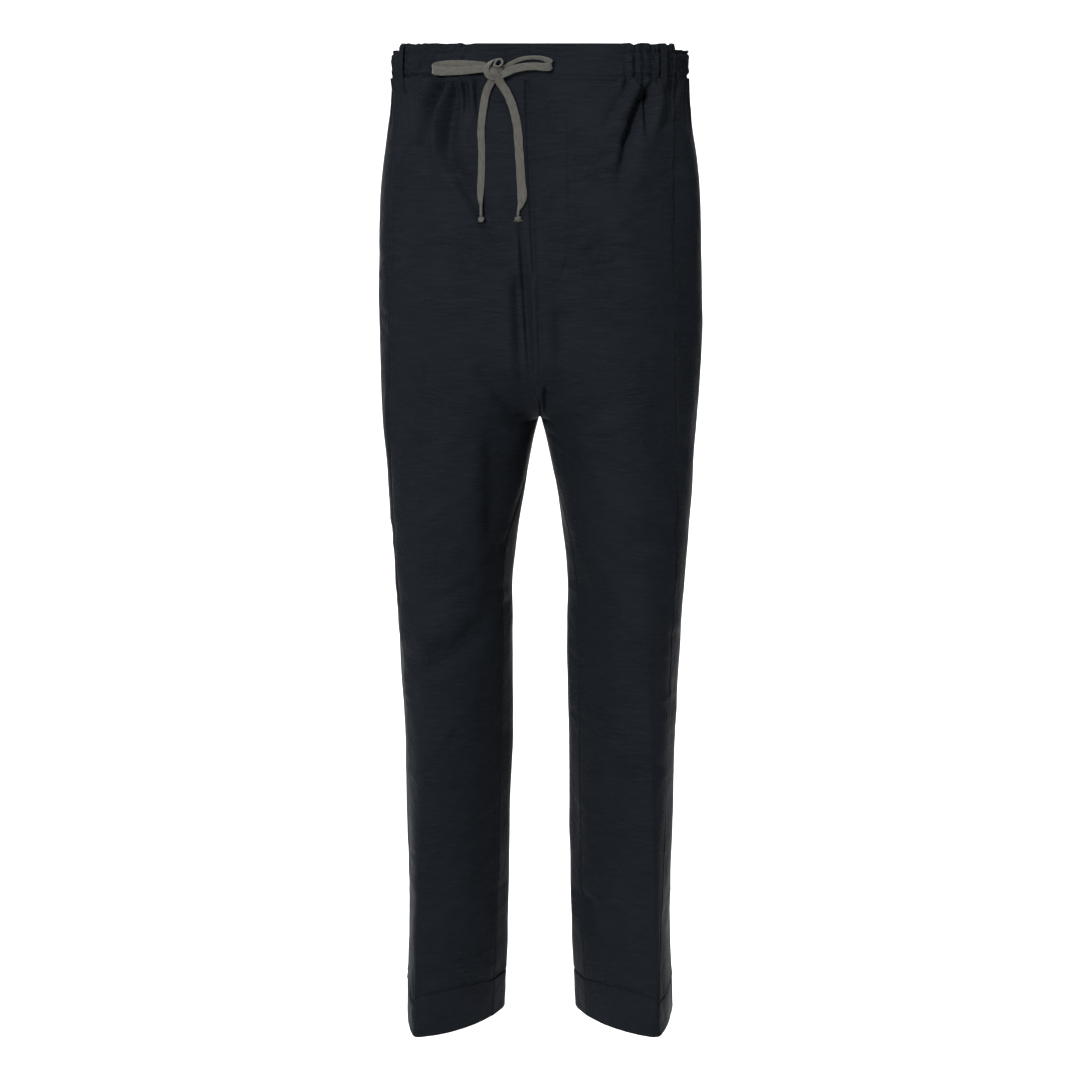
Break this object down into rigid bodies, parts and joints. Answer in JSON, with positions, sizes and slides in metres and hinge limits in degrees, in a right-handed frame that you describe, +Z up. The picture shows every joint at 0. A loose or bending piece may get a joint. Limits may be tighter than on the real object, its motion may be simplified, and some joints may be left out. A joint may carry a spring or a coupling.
{
  "type": "drawstring trousers",
  "caption": "Soft full-length trousers with a gathered waistband, plain front, fly, side pockets and straight legs, filled out as worn, with a flat lace tied in a bow at the front.",
  "frame": {"origin": "middle of the waist ring, level with the waistband", "axes": "+Z up, the front faces -Y, +X towards the wearer's left"},
  "size_m": [0.334, 0.2578, 1.0427],
  "materials": {
    "cloth": "dark navy, finely crinkled weave with a soft satin sheen",
    "inner_cloth": "dark navy, plain matt weave",
    "drawstring": "grey taupe flat woven lace, matt"
  },
  "bodies": {
    "root": {"back_panel_left": "cloth", "back_panel_right": "cloth", "belt_loop_back": "cloth", "belt_loop_left": "cloth", "belt_loop_right": "cloth", "drawstring_knot": "drawstring", "drawstring_loop_left": "drawstring", "drawstring_loop_right": "drawstring", "drawstring_tail_left": "drawstring", "drawstring_tail_right": "drawstring", "end_knot_left": "drawstring", "end_knot_right": "drawstring", "fly_underlap": "inner_cloth", "front_panel_left": "cloth", "front_panel_right": "cloth", "pocket_bag_left": "inner_cloth", "pocket_bag_right": "inner_cloth", "waistband_back": "cloth", "waistband_front_left": "cloth", "waistband_front_right": "cloth"}
  },
  "joints": []
}
